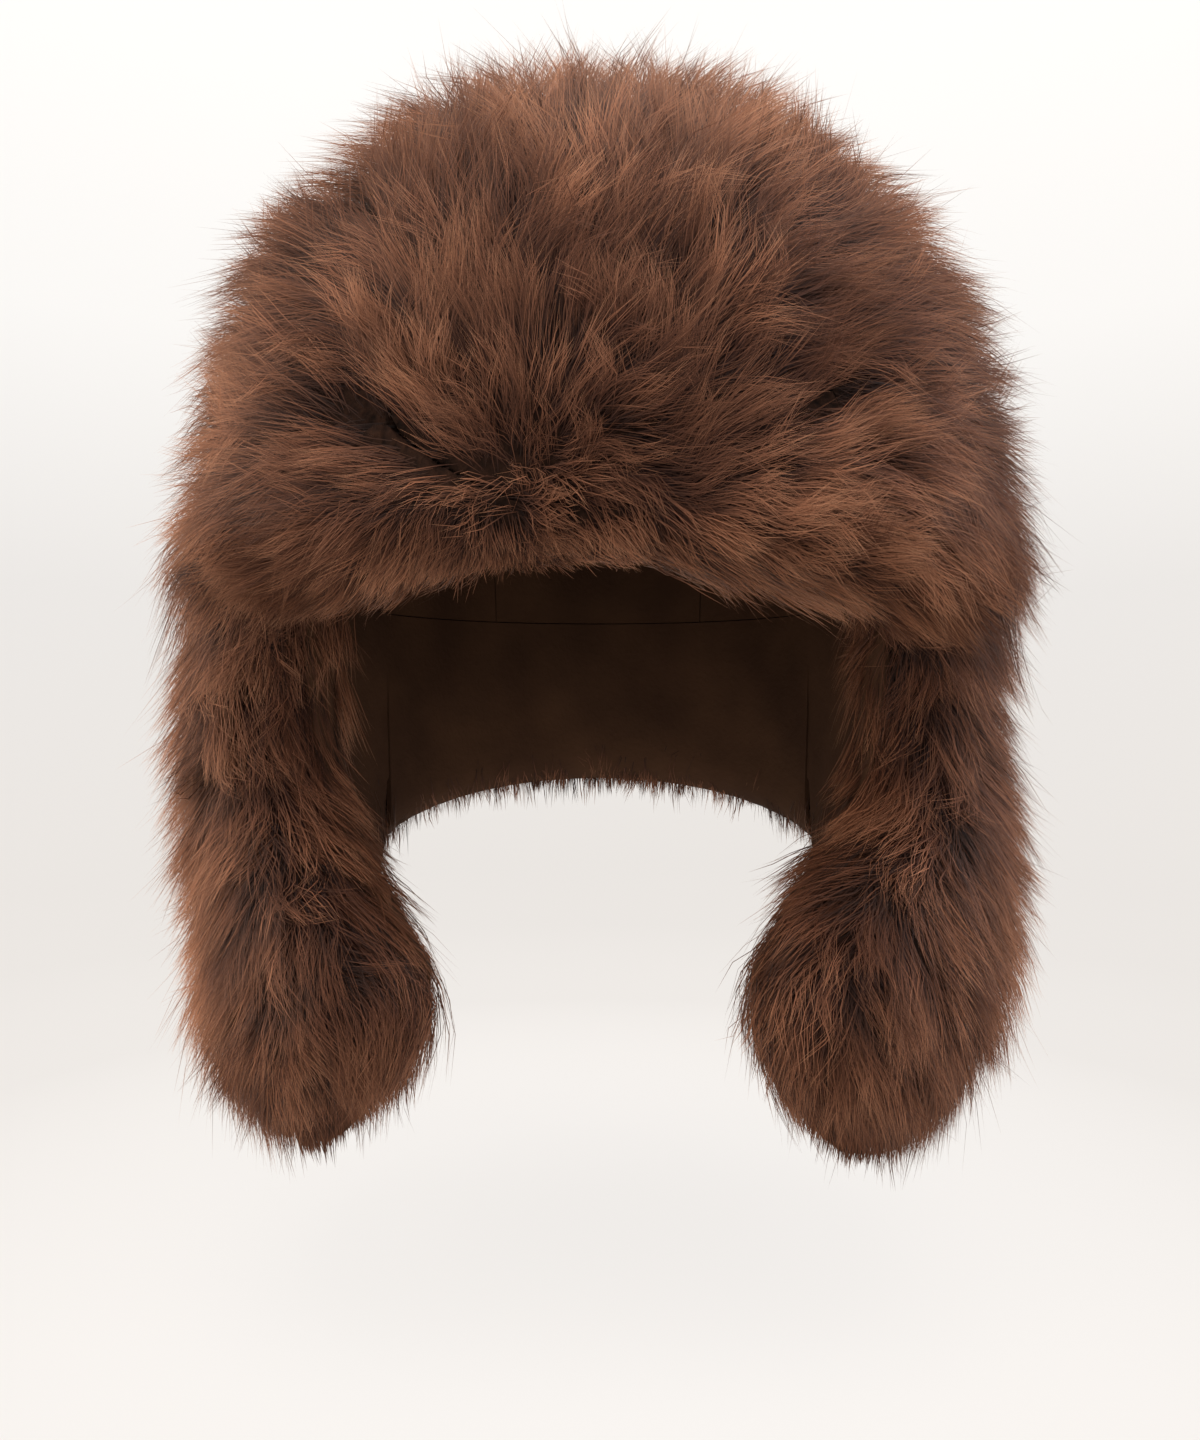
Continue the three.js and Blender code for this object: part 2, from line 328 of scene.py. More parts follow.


# The comb

# How the fur is combed, as a listed chart. Places are in mm. Each row draws the hairs near it along its
# direction. lift is how steeply they stand, tone how light they are, and length is in mm.
# tone is partly the fur's own uneven colour and partly painted light and shade: rows are darker where shade
# falls, as on the inner edges of the ear flaps and in dark pockets beside the band, and lighter where light
# falls, on the top and the outer edges.
COMB_COLUMNS = ["x", "y", "z", "dx", "dy", "dz", "lift", "tone", "length"]
COMB = {
    "crown_centre": [
        [-21, -131, 22, 0.1, 0.1, 1, 0.67, -0.15, 46],
        [-32, -130, 24, -0.7, 0.1, 0.7, 0.55, 0.36, 46],
        [-10, -131, 19, 0.85, 0, 0.35, 0.6, 0.08, 46],
        [-6, -132, 18, 0.95, 0, 0.05, 0.55, 0.08, 46],
        [12, -132, 18, 0.98, 0, -0.1, 0.42, 0.15, 48],
        [34, -127, 29, 0.95, 0.1, 0.3, 0.5, 0.22, 46],
        [-38, -128, 29, -0.95, 0.1, 0.3, 0.5, 0.3, 46],
        [-52, -122, 44, -0.7, 0.1, 0.75, 0.5, 0.0, 46],
        [54, -118, 54, 0.85, 0.1, 0.4, 0.5, 0.25, 46],
        [-28, -132, 38, -0.1, 0.1, 1, 0.4, 0.37, 50],
        [-6, -133, 36, 0.3, 0.1, 1, 0.4, 0.31, 50],
        [-42, -125, 46, -0.3, 0.1, 1, 0.35, 0.28, 46],
        [26, -128, 44, 0.4, 0.1, 0.9, 0.35, 0.31, 48],
        [44, -122, 52, 0.5, 0.1, 0.85, 0.35, 0.33, 48],
        [-27, -128, 70, 0.05, 0.15, 1, 0.35, 0.43, 50],
        [5, -125, 72, 0.5, 0.2, 0.9, 0.3, 0.39, 50],
        [-58, -115, 58, -0.95, 0.15, 0.4, 0.4, 0.38, 48],
        [60, -110, 66, 0.95, 0.15, 0.3, 0.4, 0.38, 48],
        [-55, -105, 75, -0.7, 0.3, 0.75, 0.3, -0.25, 50],
        [60, -100, 80, 0.95, 0.3, 0.35, 0.3, 0.25, 50],
        [25, -115, 85, 0.5, 0.3, 0.85, 0.3, 0.48, 50],
        [-20, -112, 100, -0.15, 0.4, 1, 0.3, 0.4, 50],
        [20, -108, 102, 0.35, 0.4, 0.9, 0.3, 0.42, 50],
        [0, -60, 145, 0, 1, 0.4, 0.3, 0.51, 50],
        [-50, -50, 140, -0.7, 0.8, 0.2, 0.3, 0.2, 50],
        [55, -50, 140, 0.9, 0.6, 0.1, 0.3, 0.42, 50],
        [0, 30, 158, 0, 1, 0, 0.3, 0.57, 50],
        [-50, 60, 135, -0.5, 1, -0.3, 0.3, 0.44, 50],
        [50, 60, 135, 0.5, 1, -0.3, 0.3, 0.42, 50],
        [0, 105, 110, 0, 0.7, -1, 0.3, 0.52, 50],
        [-45, 120, 60, -0.2, 0.3, -1, 0.3, 0.42, 50],
        [45, 120, 60, 0.2, 0.3, -1, 0.3, 0.42, 50],
        [0, 137, 20, 0, 0.1, -1, 0.3, 0.47, 50],
    ],
    "crown_side_left": [
        [-70, -105, 50, -1, 0.3, 0.1, 0.3, 0.47, 50],
        [-85, -85, 90, -0.9, 0.4, 0.35, 0.3, 0.15, 50],
        [-60, -80, 118, -0.7, 0.5, 0.5, 0.3, 0.1, 50],
        [-115, -60, 50, -0.6, 0.7, -0.15, 0.3, 0.57, 50],
        [-100, -85, 25, -0.9, 0.3, -0.4, 0.3, 0.44, 50],
        [-125, -35, 10, -0.3, 0.5, -0.8, 0.12, 0.44, 62],
        [-110, -78, 5, -0.6, 0.1, -0.8, 0.12, 0.39, 62],
        [-133, 0, 5, -0.42, 0.2, -1, 0.12, 0.44, 62],
        [-133, 0, 40, 0, 0.8, -0.5, 0.3, 0.52, 50],
        [-115, 0, 90, -0.3, 1, -0.1, 0.3, 0.44, 50],
        [-90, 0, 125, -0.6, 1, 0, 0.3, 0.44, 50],
        [-110, 70, 60, -0.3, 0.8, -0.6, 0.3, 0.47, 50],
        [-80, 100, 50, -0.1, 0.5, -1, 0.3, 0.47, 50],
        [-105, 85, 8, -0.1, 0.2, -1, 0.12, 0.39, 62],
    ],
    "crown_side_right": [
        [66, -115, 62, 0.8, 0.2, -0.4, 0.3, 0.3, 50],
        [80, -95, 88, 0.95, 0.3, 0.1, 0.3, 0.25, 50],
        [70, -75, 118, 0.8, 0.5, 0.3, 0.3, 0.38, 50],
        [105, -75, 50, 0.6, 0.3, -0.7, 0.3, 0.0, 50],
        [95, -92, 25, 0.7, 0.1, -0.8, 0.3, 0.25, 50],
        [122, -45, 20, 0.3, 0.3, -1, 0.3, 0.3, 50],
        [110, -78, 5, 0.5, 0, -0.9, 0.12, 0.0, 62],
        [133, 0, 5, 0.15, 0.15, -1, 0.12, 0.45, 62],
        [133, 0, 40, 0.1, 0.5, -0.9, 0.3, 0.5, 50],
        [115, 0, 90, 0.3, 0.8, -0.5, 0.3, 0.44, 50],
        [90, 0, 125, 0.6, 0.9, 0, 0.3, 0.49, 50],
        [110, 70, 60, 0.3, 0.8, -0.6, 0.3, 0.47, 50],
        [80, 100, 50, 0.1, 0.5, -1, 0.3, 0.5, 50],
        [105, 85, 8, 0.1, 0.2, -1, 0.12, 0.58, 62],
    ],
    "forehead_band": [
        [-20, -132, 15, 0.1, 0, 1, 0.7, -0.15, 42],
        [-20, -132, 10, 0.2, -0.1, -1, 0.66, 0.35, 36],
        [-32, -131, 17, -0.9, 0, 0, 0.58, 0.25, 42],
        [-8, -132, 13, 0.9, 0, -0.1, 0.58, 0.08, 42],
        [-6, -133, 12, 0.85, -0.05, -0.4, 0.5, 0.35, 44],
        [14, -132, 13, 0.95, 0, -0.3, 0.4, 0.45, 44],
        [-40, -127, 24, -0.98, 0, -0.05, 0.5, 0.35, 44],
        [38, -127, 24, 0.95, 0, -0.3, 0.5, 0.44, 44],
        [0, -130, 4, 0.25, 0, -1, 0.5, 1.3, 32],
        [-40, -126, 8, -0.65, 0, -0.8, 0.45, 0.2, 34],
        [-75, -110, 15, -0.8, 0.1, -0.7, 0.4, 0.2, 38],
        [-57, -119, 12, -0.7, 0, -0.8, 0.42, 0.0, 38],
        [-90, -95, 30, -0.95, 0.3, -0.3, 0.35, 0.52, 42],
        [40, -126, 8, 0.85, 0, -0.6, 0.35, 0.66, 38],
        [20, -131, 6, 0.7, 0, -0.7, 0.42, 0.9, 36],
        [75, -108, 15, 0.75, 0.1, -0.7, 0.35, 0.42, 42],
        [55, -118, 45, 0.85, 0, -0.5, 0.5, 0.42, 44],
        [90, -95, 5, 0.6, 0.1, -0.8, 0.35, 0.15, 42],
    ],
    "ear_flap_left": [
        [-136, 0, -10, -0.25, 0, -1, 0.26, 0.45, 44],
        [-136, 10, -90, -0.1, 0, -1, 0.26, 0.95, 44],
        [-130, -60, -90, -0.15, -0.1, -1, 0.26, 1.1, 44],
        [-95, -85, -30, 0, 0, -1, 0.26, 0.2, 44],
        [-82, -92, -55, 0.05, 0, -1, 0.26, 0.25, 44],
        [-75, -95, -85, 0.3, -0.1, -0.97, 0.26, 0.14, 44],
        [-100, -88, -85, 0.05, -0.1, -1, 0.26, 0.34, 44],
        [-52, -100, -100, 0.9, -0.1, -0.5, 0.26, 0.2, 56],
        [-52, -100, -125, 0.1, -0.1, -1, 0.26, 0.1, 44],
        [-80, -85, -145, 0.2, 0, -1, 0.26, 0.0, 44],
        [-115, -20, -160, 0.05, 0, -1, 0.26, 0.45, 44],
        [-120, 50, -110, 0, 0.3, -1, 0.26, 0.45, 44],
        [-118, 62, -40, 0, 0.2, -1, 0.26, 0.45, 44],
    ],
    "ear_flap_right": [
        [132, 0, -10, 0.1, 0, -1, 0.26, 0.15, 44],
        [136, 10, -90, 0.2, 0, -1, 0.26, 0.45, 44],
        [130, -60, -90, 0.2, -0.1, -1, 0.26, 0.5, 44],
        [95, -85, -30, 0, 0, -1, 0.26, 0.18, 44],
        [84, -92, -50, -0.3, 0, -0.95, 0.26, 0.13, 44],
        [70, -97, -68, -0.3, -0.15, -0.95, 0.26, 0.15, 44],
        [75, -95, -85, -0.25, -0.1, -0.97, 0.26, 0.2, 44],
        [58, -98, -78, -0.6, -0.1, -0.8, 0.26, 0.25, 44],
        [100, -88, -85, -0.1, -0.1, -1, 0.26, 0.15, 44],
        [52, -100, -97, -0.85, -0.1, -0.6, 0.26, 0.05, 54],
        [52, -100, -125, 0.15, -0.1, -1, 0.26, -0.2, 44],
        [80, -85, -145, -0.1, 0, -1, 0.26, -0.6, 44],
        [115, -20, -160, 0, 0, -1, 0.26, -0.1, 44],
        [120, 50, -110, 0, 0.3, -1, 0.26, 0.45, 44],
        [115, 62, -40, 0, 0.2, -1, 0.26, 0.45, 44],
    ],
    "neck_flap": [
        [0, 132, -20, 0, 0.1, -1, 0.35, 0.45, 42],
        [0, 125, -65, 0, 0, -1, 0.4, 0.45, 36],
        [-90, 95, -30, -0.05, 0.1, -1, 0.35, 0.45, 42],
        [90, 95, -30, 0.05, 0.1, -1, 0.35, 0.45, 42],
    ],
}

# Each row's pull falls off with the distance, and this many mm more keep the nearest row from taking over.
COMB_SOFTNESS = 6


def combed(panel, places):
    """The comb's way, lift, tone and length at places, each row weighing less the further off it is."""
    rows = np.array(COMB[panel], float)
    column = dict(zip(COMB_COLUMNS, rows.T))
    apart = np.linalg.norm(places[:, None] / MM - rows[None, :, :3], axis=2)
    weight = 1 / (apart + COMB_SOFTNESS) ** 3
    weight /= weight.sum(1, keepdims=True)
    return SimpleNamespace(way=unit(weight @ unit(rows[:, 3:6])), lift=weight @ column["lift"],
                           tone=weight @ column["tone"], length=weight @ column["length"] * MM)


# The hair line over the face opening: how low the band's hairs hang, as pairs of x and z in mm.
BROW = [[-75, -13], [-60, -10], [-44, -4.5], [-25, -1], [0, 1.5], [12, 1.5], [20, 0], [28, -3.5], [35, -8],
        [42, -13], [50, -19], [75, -22]]


def brow(x):
    places, heights = np.array(BROW).T * MM
    return np.interp(x, places, heights)


# About one turn in radians, for phases that are drawn at random.
TURN = 6.28
# How many waves a field is the sum of, their least and greatest length in m, about how high their sum swings,
# and the seed of each field.
WAVE_COUNT = 7
WAVE_LENGTHS = (0.02, 0.055)
WAVE_HEIGHT = 2.6
WAVE_SEEDS = {"spin": 11, "broad_spin": 13, "swoop": 14, "rise": 12, "tone": 5, "undercoat": 21}


def waves(places, name):
    """A smooth field between about -1 and 1, the sum of waves in random directions."""
    rng = np.random.default_rng(WAVE_SEEDS[name])
    total = np.zeros(len(places))
    for _ in range(WAVE_COUNT):
        way = unit(rng.normal(size=3)) * 2 * math.pi / rng.uniform(*WAVE_LENGTHS)
        total += np.sin(places @ way + rng.uniform(0, TURN))
    return total / WAVE_HEIGHT


# Where the hairs grow

# Behind this the blades are fewer and wider than in front, and inside a free edge they are fewer too.
FRONT_END = 30 * MM
BACK_SHARE = 0.55
BACK_WIDTH = 1.45
INSIDE_SHARE = 0.6
# At a parting the hairs stand steeply. From this lift on, the fur grows denser over the next stretch of lift.
PARTING_LIFT = 0.35
PARTING_RANGE = 0.2
PARTING_MORE = 1.4
# A lock has this many blades, and there is a tuft of locks for each TUFT_ROOM square mm of cloth.
PER_LOCK = 8
TUFT_ROOM = 50


def scatter(panel, count, rng):
    """Places spread over a panel's furred triangles, their outward normals, and the triangles' area."""
    corners, normals, areas = (a[FURRED[panel]] for a in SOLIDS[panel])
    middle = corners.mean(1)
    dense = np.where(middle[:, 1] < FRONT_END, 1.0, BACK_SHARE)
    dense *= np.where(dot(normals, outwards(middle)) < -0.1, INSIDE_SHARE, 1.0)
    dense *= 1 + PARTING_MORE * fade(combed(panel, middle).lift, PARTING_LIFT, PARTING_RANGE)
    share = areas * dense
    pick = rng.choice(len(areas), count, p=share / share.sum())
    a, b = rng.random((2, count))
    over = a + b > 1
    a, b = np.where(over, 1 - a, a), np.where(over, 1 - b, b)
    c = corners[pick]
    roots = c[:, 0] + (c[:, 1] - c[:, 0]) * a[:, None] + (c[:, 2] - c[:, 0]) * b[:, None]
    return roots, normals[pick], areas.sum()


class Tufts:
    """The tuft of each root, and random values that all the locks of a tuft share."""

    def __init__(self, roots, area, rng):
        self.rng = rng
        self.count = max(int(area / MM ** 2 / TUFT_ROOM), 1)
        tree = KDTree(self.count)
        for i, m in enumerate(rng.choice(len(roots), self.count, replace=False)):
            tree.insert(Vector(roots[m]), i)
        tree.balance()
        self.of = np.array([tree.find(Vector(p))[1] for p in roots])

    def normal(self, spread):
        return self.rng.normal(0, spread, self.count)[self.of]

    def uniform(self, least, most):
        return self.rng.uniform(least, most, self.count)[self.of]


# The middle lines of the locks

STEPS = 6
# How far the fur stands out from the skin on average, in mm, before what extra_height adds.
PILE_RISE = 2.3
WAVE_RISE = 1.8
# The least and the most lift that a lock may have.
LIFTS = (0.02, 0.97)
# How the tufts differ at random, as a spread or as least and most.
TUFT = SimpleNamespace(
    spin=0.2,  # the turn from the comb's way, in radians
    steep_spin=0.6,  # the same, where hairs stand steepest
    swoop=0.5,  # the turn that grows towards the tip, in radians
    lift=0.09,  # how steeply they stand
    rise=3.0,  # the height over the skin, in mm
    rises=(-7, 4),  # the least and most of that
    travel=(0.75, 1.2),  # the length over the skin, as a factor
    bend=(0.95, 1.35),  # how early a lock rises
    leave=(0.74, 0.94),  # how much the skin still faces the root's way where a lock leaves it, on an ear flap
    pull=(0.1, 0.5),  # how far the locks are drawn to their tuft's middle
)
# How the locks of a tuft differ from each other.
LOCK = SimpleNamespace(
    spin=0.19,
    parting_spin=0.4,  # the same, where hairs stand up at a parting
    steep_spin=0.9,
    rise=1.6,
    travel=(0.85, 1.12),
    hang=1.3,  # how far past a free edge it hangs, in mm
    long_hang=8,  # the most that a few of them hang further, in mm
)
# The leave of all panels but the ear flaps, and how much further tufts are drawn together at a free edge.
PLAIN_LEAVE = 0.75
EDGE_PULL = 0.15


def extra_height(panel, roots):
    """How much further the fur stands out at the roots, in mm, with the slopes along x in mm for each m."""
    x, _, z = roots.T
    if has_free_edge(panel):
        # The tops of the flaps, and the band: the left ones stand out further.
        return (2.5 - 14 * x) * fade(z, -60 * MM, 60 * MM)
    # The crown stands out more the higher it is, near its top, on its left shoulder and on its right side.
    top = 3.2 * fade(z, 0, 100 * MM) + 3.0 * fade(z, 125 * MM, 20 * MM)
    shoulder = 2.2 * np.clip(1 - np.abs(z - 95 * MM) / (40 * MM), 0, 1) * (x < -50 * MM)
    return top + shoulder + 15 * x - 0.8


def flap_hang(roots):
    """How much further the locks hang past a free edge at the roots, in mm: further beside the face opening,
    and less at the inner lower corners of the flaps and along their bottom."""
    x, y, z = roots.T
    right, front = x > 0, y < -50 * MM
    beside = 4.5 * (np.abs(x) < 78 * MM) * front * fade(z, -135 * MM, 30 * MM) * (z < -40 * MM)
    beside *= 1 + 1.4 * right * fade(z, -100 * MM, 20 * MM)
    corner = np.where(right, 4.0, 2.0) * (np.abs(x) < 100 * MM) * front * fade(-z, 98 * MM, 20 * MM)
    bottom = np.where(right, 4.0, 5.5) * fade(-z, 118 * MM, 20 * MM)
    return beside - corner - bottom


def hang_limit(panel, roots, hang, tufts, rng):
    """How far past a free edge the locks may hang. A crown panel's locks never get as far as its limit."""
    count = len(roots)
    if not has_free_edge(panel):
        return np.full(count, 30 * MM)
    ragged = tufts.uniform(*hang) + rng.normal(0, LOCK.hang, count)
    ragged += LOCK.long_hang * rng.random(count) ** 6
    return (ragged + flap_hang(roots)) * MM


def turns(roots, lift, wave, tufts, rng):
    """How far each lock turns from the comb's way, in radians: spin all along, and swoop more at the tip.
    Locks that stand steeply, at a parting, turn more freely."""
    count = len(roots)
    spin = tufts.normal(TUFT.spin) + 0.45 * waves(roots, "spin") + 0.25 * waves(roots * 0.5, "broad_spin")
    spin = wave * spin + rng.normal(0, LOCK.spin, count)
    spin += rng.normal(0, LOCK.parting_spin, count) * fade(lift, 0.42, 0.1)
    spin += (tufts.normal(TUFT.steep_spin) + rng.normal(0, LOCK.steep_spin, count)) * fade(lift, 0.54, 0.07)
    swoop = wave * (tufts.normal(TUFT.swoop) + 0.4 * waves(roots, "swoop"))
    return spin, swoop


# The comb leads off the skin where its way looks this far out of it, and over this range the line leaves it.
LEADS_OFF = 0.35
OFF_RANGE = 0.4


def follow_skin(panel, roots, depth, lock):
    """The middle lines of the locks, the ways they face and their heights over the skin. A line starts at its
    depth under the skin, rises to lock.rise and follows the skin for lock.travel. Where the skin turns away
    at a free edge, or the comb leads off it, the line goes on straight."""
    count = len(roots)
    line = np.empty((STEPS + 1, count, 3))
    out = np.empty((STEPS + 1, count, 3))
    over = np.empty((STEPS + 1, count))
    surface, face = on_skin(roots)
    at = roots - face * depth[:, None]
    low = dot(at - surface, face)
    line[0], out[0], over[0] = at, face, low
    first = face
    heading = np.zeros((count, 3))
    step = np.hypot(lock.travel, lock.rise - low)[:, None] / STEPS
    for k in range(STEPS):
        s = (k + 1) / STEPS
        angle = lock.spin * (0.4 + 0.9 * s) + lock.swoop * (s - 0.4) * 2
        way = turned(combed(panel, surface).way, face, angle)
        into = dot(way, face)
        turn = np.maximum(lock.leave - dot(face, first), into - LEADS_OFF) / OFF_RANGE
        off_edge = has_free_edge(panel) * np.clip(turn, 0, 1)[:, None]
        # Off the edge a lock keeps some of its last heading, and at first it also bends outwards.
        straight = at + unit(unit(way * 0.9 + heading * 0.6) + face * 0.25 * (1 - s)) * step
        along = unit(way - face * into[:, None])
        height = low * (1 - s) ** lock.bend + lock.rise * s
        near, near_face = on_skin(surface + along * (lock.travel / STEPS)[:, None])
        new = (near + near_face * height[:, None]) * (1 - off_edge) + straight * off_edge
        heading = unit(new - at)
        at = new
        surface, face = on_skin(at)
        over[k + 1] = dot(at - surface, face)
        face = unit(face * (1 - off_edge) + out[k] * off_edge)
        line[k + 1], out[k + 1] = at, face
    return line, out, over


def draw_together(line, tufts, pull):
    """Moves the locks of each tuft towards their middle, more and more towards their tips."""
    members = np.maximum(np.bincount(tufts.of, minlength=tufts.count), 1)[:, None]
    for k in range(1, STEPS + 1):
        middle = np.stack([np.bincount(tufts.of, line[k, :, i], tufts.count) for i in range(3)], 1) / members
        line[k] += (middle[tufts.of] - line[k]) * (pull * (k / STEPS) ** 1.4)[:, None]


# The least share of a line that is kept, and the least rise of a step, in m, that is divided by.
LEAST_KEPT = 0.2
LEAST_STEP = 1e-6


def kept_share(over, limit):
    """The share of each line that is kept, up to where its value in over first passes the limit."""
    reach = np.ones(len(limit))
    for k in range(STEPS, 0, -1):
        near_end, far_end = over[k - 1], over[k]
        crossing = np.clip((limit - near_end) / np.maximum(far_end - near_end, LEAST_STEP), 0, 1)
        reach = np.where(far_end > limit, np.maximum((k - 1 + crossing) / STEPS, LEAST_KEPT), reach)
    return reach


def grow_locks(panel, roots, depth, wave, hang, tufts, rng):
    """The locks of a panel. Each leaves the cloth, rises to the outer form and leans over along the comb.
    At a free edge it runs on past the edge, and reach is the share of it that is kept there."""
    count = len(roots)
    comb = combed(panel, roots)
    spin, swoop = turns(roots, comb.lift, wave, tufts, rng)
    lift = np.clip(comb.lift + tufts.normal(TUFT.lift), *LIFTS)
    rise = PILE_RISE + extra_height(panel, roots) + np.clip(tufts.normal(TUFT.rise), *TUFT.rises)
    rise = rise + rng.normal(0, LOCK.rise, count)
    rise = (rise + WAVE_RISE * waves(roots, "rise")) * MM
    travel = comb.length * (1 - lift) * tufts.uniform(*TUFT.travel) * rng.uniform(*LOCK.travel, count)
    bend = tufts.uniform(*TUFT.bend)
    limit = hang_limit(panel, roots, hang, tufts, rng)
    leave = tufts.uniform(*TUFT.leave) if panel.startswith("ear") else PLAIN_LEAVE
    lock = SimpleNamespace(spin=spin, swoop=swoop, rise=rise, travel=travel, bend=bend, leave=leave)
    line, out, over = follow_skin(panel, roots, depth, lock)
    draw_together(line, tufts, tufts.uniform(*TUFT.pull) + EDGE_PULL * has_free_edge(panel))
    if panel == "forehead_band":
        over = brow(line[:, :, 0]) - line[:, :, 2]
    return SimpleNamespace(line=line, out=out, roots=roots, tone=comb.tone, reach=kept_share(over, limit))


# The blades of the locks

# A blade is a flat hair. Its width is given in mm, and at each of its points as a share of that.
BLADE_WIDTH = 0.22
BLADE_TAPER = [0.8, 1.0, 0.85, 0.0]
POINTS = len(BLADE_TAPER)
STRAY_WIDTH = 0.65
# The share of blades that stray out of the fur, and of those that are hardly drawn into their lock.
STRAY_SHARE = 0.06
LOOSE_SHARE = 0.2
# How far at most a lock's blades start from its middle line, in mm. The curl is full on a line that is this
# long, and is never less than the share.
LOCK_RADIUS = 4.5
FULL_CURL = 34 * MM
LEAST_CURL = 0.3
# How the blades differ at random, as a spread or as least and most.
BLADE = SimpleNamespace(
    drawn=(0.5, 0.95),  # the share by which a lock's blades are drawn to its line at the tip
    drawn_more=0.05,  # what a single blade's share differs by
    loose=(-0.2, 0.4),  # the same for loose blades
    length=(0.7, 1.0),  # as a factor
    stray=(1, 8.5),  # how far a stray's tip stands out, in mm
    start=(0.2, 1.0),  # how far from its lock's line a blade starts, as a share of LOCK_RADIUS
    drift=(0, 3.4),  # how far a tip drifts any way, in mm
    lock_curl=(0.4, 2.8),  # how far a lock swings to its sides, in mm
    tuft_curl=(0.0, 4.0),  # how far its tuft does
    taken_up=(0.3, 0.85),  # the share that is taken up of what hangs below the hair line
    roll=0.45,  # in radians
    width=(0.7, 1.25),  # as a factor
)
# Stray blades are held down near this height, and nothing rises more than TOP_ROOM above it.
TOP = 176 * MM
TOP_ROOM = 2 * MM
TOP_FADE = 8 * MM
# The depth in mm of the roots on a face that is turned sideways or inwards.
EDGE_DEPTH = 4


def blade_lines(panel, locks, lock, tufts, rng):
    """The middle lines of the blades, the ways they face, and how far each strays outwards. Blades start
    spread about their lock's line and draw together towards its tip, and lock and tuft curl sideways."""
    count, lock_count = len(lock), len(locks.reach)
    tight = rng.uniform(*BLADE.drawn, lock_count)[lock]
    drawn = np.where(rng.random(count) < LOOSE_SHARE, rng.uniform(*BLADE.loose, count),
                     tight + rng.normal(0, BLADE.drawn_more, count))
    shorter = rng.uniform(*BLADE.length, count) * locks.reach[lock]
    stray = (rng.random(count) < STRAY_SHARE) * rng.uniform(*BLADE.stray, count) * MM * locks.reach[lock] ** 2
    stray *= fade(TOP - locks.line[-1, lock, 2], 0, TOP_FADE)
    sideways = unit(rng.normal(size=(count, 3)))
    spread = rng.uniform(*BLADE.start, count) ** 0.6 * LOCK_RADIUS * MM
    drift = unit(rng.normal(size=(count, 3))) * rng.uniform(*BLADE.drift, count)[:, None] * MM
    lock_curl = rng.uniform(*BLADE.lock_curl, lock_count) * MM
    tuft_curl = tufts.uniform(*BLADE.tuft_curl) * MM
    lock_phase = rng.uniform(0, TURN, lock_count)
    tuft_phase = tufts.uniform(0, TURN)
    taken_up = rng.uniform(*BLADE.taken_up, count)
    run = np.linalg.norm(np.diff(locks.line, axis=0), axis=2).sum(0) * locks.reach
    curled = np.clip(run / FULL_CURL, LEAST_CURL, 1)
    places = np.empty((POINTS, count, 3))
    faces = np.empty((POINTS, count, 3))
    for k in range(POINTS):
        s = k / (POINTS - 1) * shorter
        i = np.minimum((s * STEPS).astype(int), STEPS - 1)
        t = (s * STEPS - i)[:, None]
        a, b = locks.line[i, lock], locks.line[i + 1, lock]
        face = unit(locks.out[i, lock] * (1 - t) + locks.out[i + 1, lock] * t)
        tangent = unit(b - a)
        flat = unit(sideways - tangent * (sideways * tangent).sum(1, keepdims=True))
        flat = flat * spread[:, None] * (1 - drawn * s ** 0.8)[:, None]
        swing = (lock_curl * curled)[lock] * np.sin(lock_phase[lock] + s * 5.5)
        swing += (tuft_curl * curled)[lock] * np.sin(tuft_phase[lock] + s * 4)
        places[k] = a * (1 - t) + b * t + flat + np.cross(tangent, face) * swing[:, None]
        places[k] += drift * (s ** 1.5)[:, None] + face * (stray * s ** 1.5)[:, None]
        places[k, :, 2] = np.minimum(places[k, :, 2], TOP + TOP_ROOM)
        if panel == "forehead_band":
            places[k, :, 2] -= taken_up * np.minimum(places[k, :, 2] - brow(places[k, :, 0]), 0)
        faces[k] = face
    return places, faces, stray


def blade_sides(places, faces, stray, rng):
    """Half of each blade's width, as a step to its side, and its normals. A blade lies flat on the fur but
    for a random roll, and on the front of the hat it also turns its flat side to the front."""
    count = len(stray)
    roll = rng.normal(0, BLADE.roll, count)
    front = np.array([0, -1, 0]) * np.clip(0.5 - places[0][:, 1:2] / (60 * MM), 0, 1)
    wide = BLADE_WIDTH * np.where(places[0][:, 1] < FRONT_END, 1.0, BACK_WIDTH)
    wide = wide * rng.uniform(*BLADE.width, count) * MM / 2 * np.where(stray > 0, STRAY_WIDTH, 1.0)
    sides = np.empty((POINTS, count, 3))
    normals = np.empty((POINTS, count, 3))
    for k in range(POINTS):
        tangent = unit(places[min(k + 1, POINTS - 1)] - places[max(k - 1, 0)])
        side = turned(unit(np.cross(tangent, unit(faces[k] + front * 0.9))), tangent, roll)
        sides[k] = side * (wide * BLADE_TAPER[k])[:, None]
        normals[k] = unit(faces[k] * 0.65 + unit(np.cross(side, tangent)) * 0.45)
    return sides, normals


# How tones differ at random by tuft, lock and blade, and what else changes them.
TONE = SimpleNamespace(
    tuft=0.21,
    lock=0.12,
    blade=0.06,
    waves=0.2,
    added=0.03,
    dark=0.28,  # what a dark lock loses
    dark_share=0.18,  # the share of locks that are dark
    # A stray's gain is painted light: the hairs that stand out of the fur at the outline look lit through.
    stray=0.15,  # what a stray gains
)


